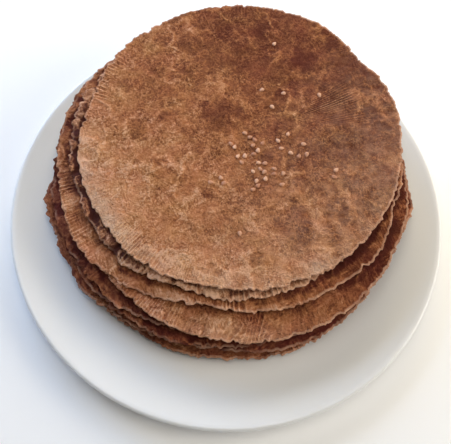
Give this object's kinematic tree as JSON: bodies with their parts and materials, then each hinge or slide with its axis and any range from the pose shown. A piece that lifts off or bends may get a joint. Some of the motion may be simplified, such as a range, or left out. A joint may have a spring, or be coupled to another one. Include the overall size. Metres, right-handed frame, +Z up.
{
  "type": "khakhra on a plate",
  "caption": "Leaning stack of thin, crisp, wavy brown flatbreads with a pinch of sesame seeds on top, on a shallow round white plate.",
  "frame": {"origin": "middle of the plate's foot, on the surface that the plate stands on", "axes": "+Z up through the stack, -Y towards the front, where the lower breads show most, +X to the right"},
  "size_m": [0.25, 0.25, 0.0519],
  "materials": {
    "glaze": "smooth white glaze with a soft gloss",
    "crisp_bread": "dry roasted wholewheat, mottled brown with darker blisters, matte",
    "sesame": "pale hulled seed, satin"
  },
  "bodies": {
    "root": {"plate": "glaze", "khakhra_1": "crisp_bread", "khakhra_2": "crisp_bread", "khakhra_3": "crisp_bread", "khakhra_4": "crisp_bread", "khakhra_5": "crisp_bread", "khakhra_6": "crisp_bread", "khakhra_7": "crisp_bread", "khakhra_8": "crisp_bread", "khakhra_9": "crisp_bread"}
  },
  "joints": []
}
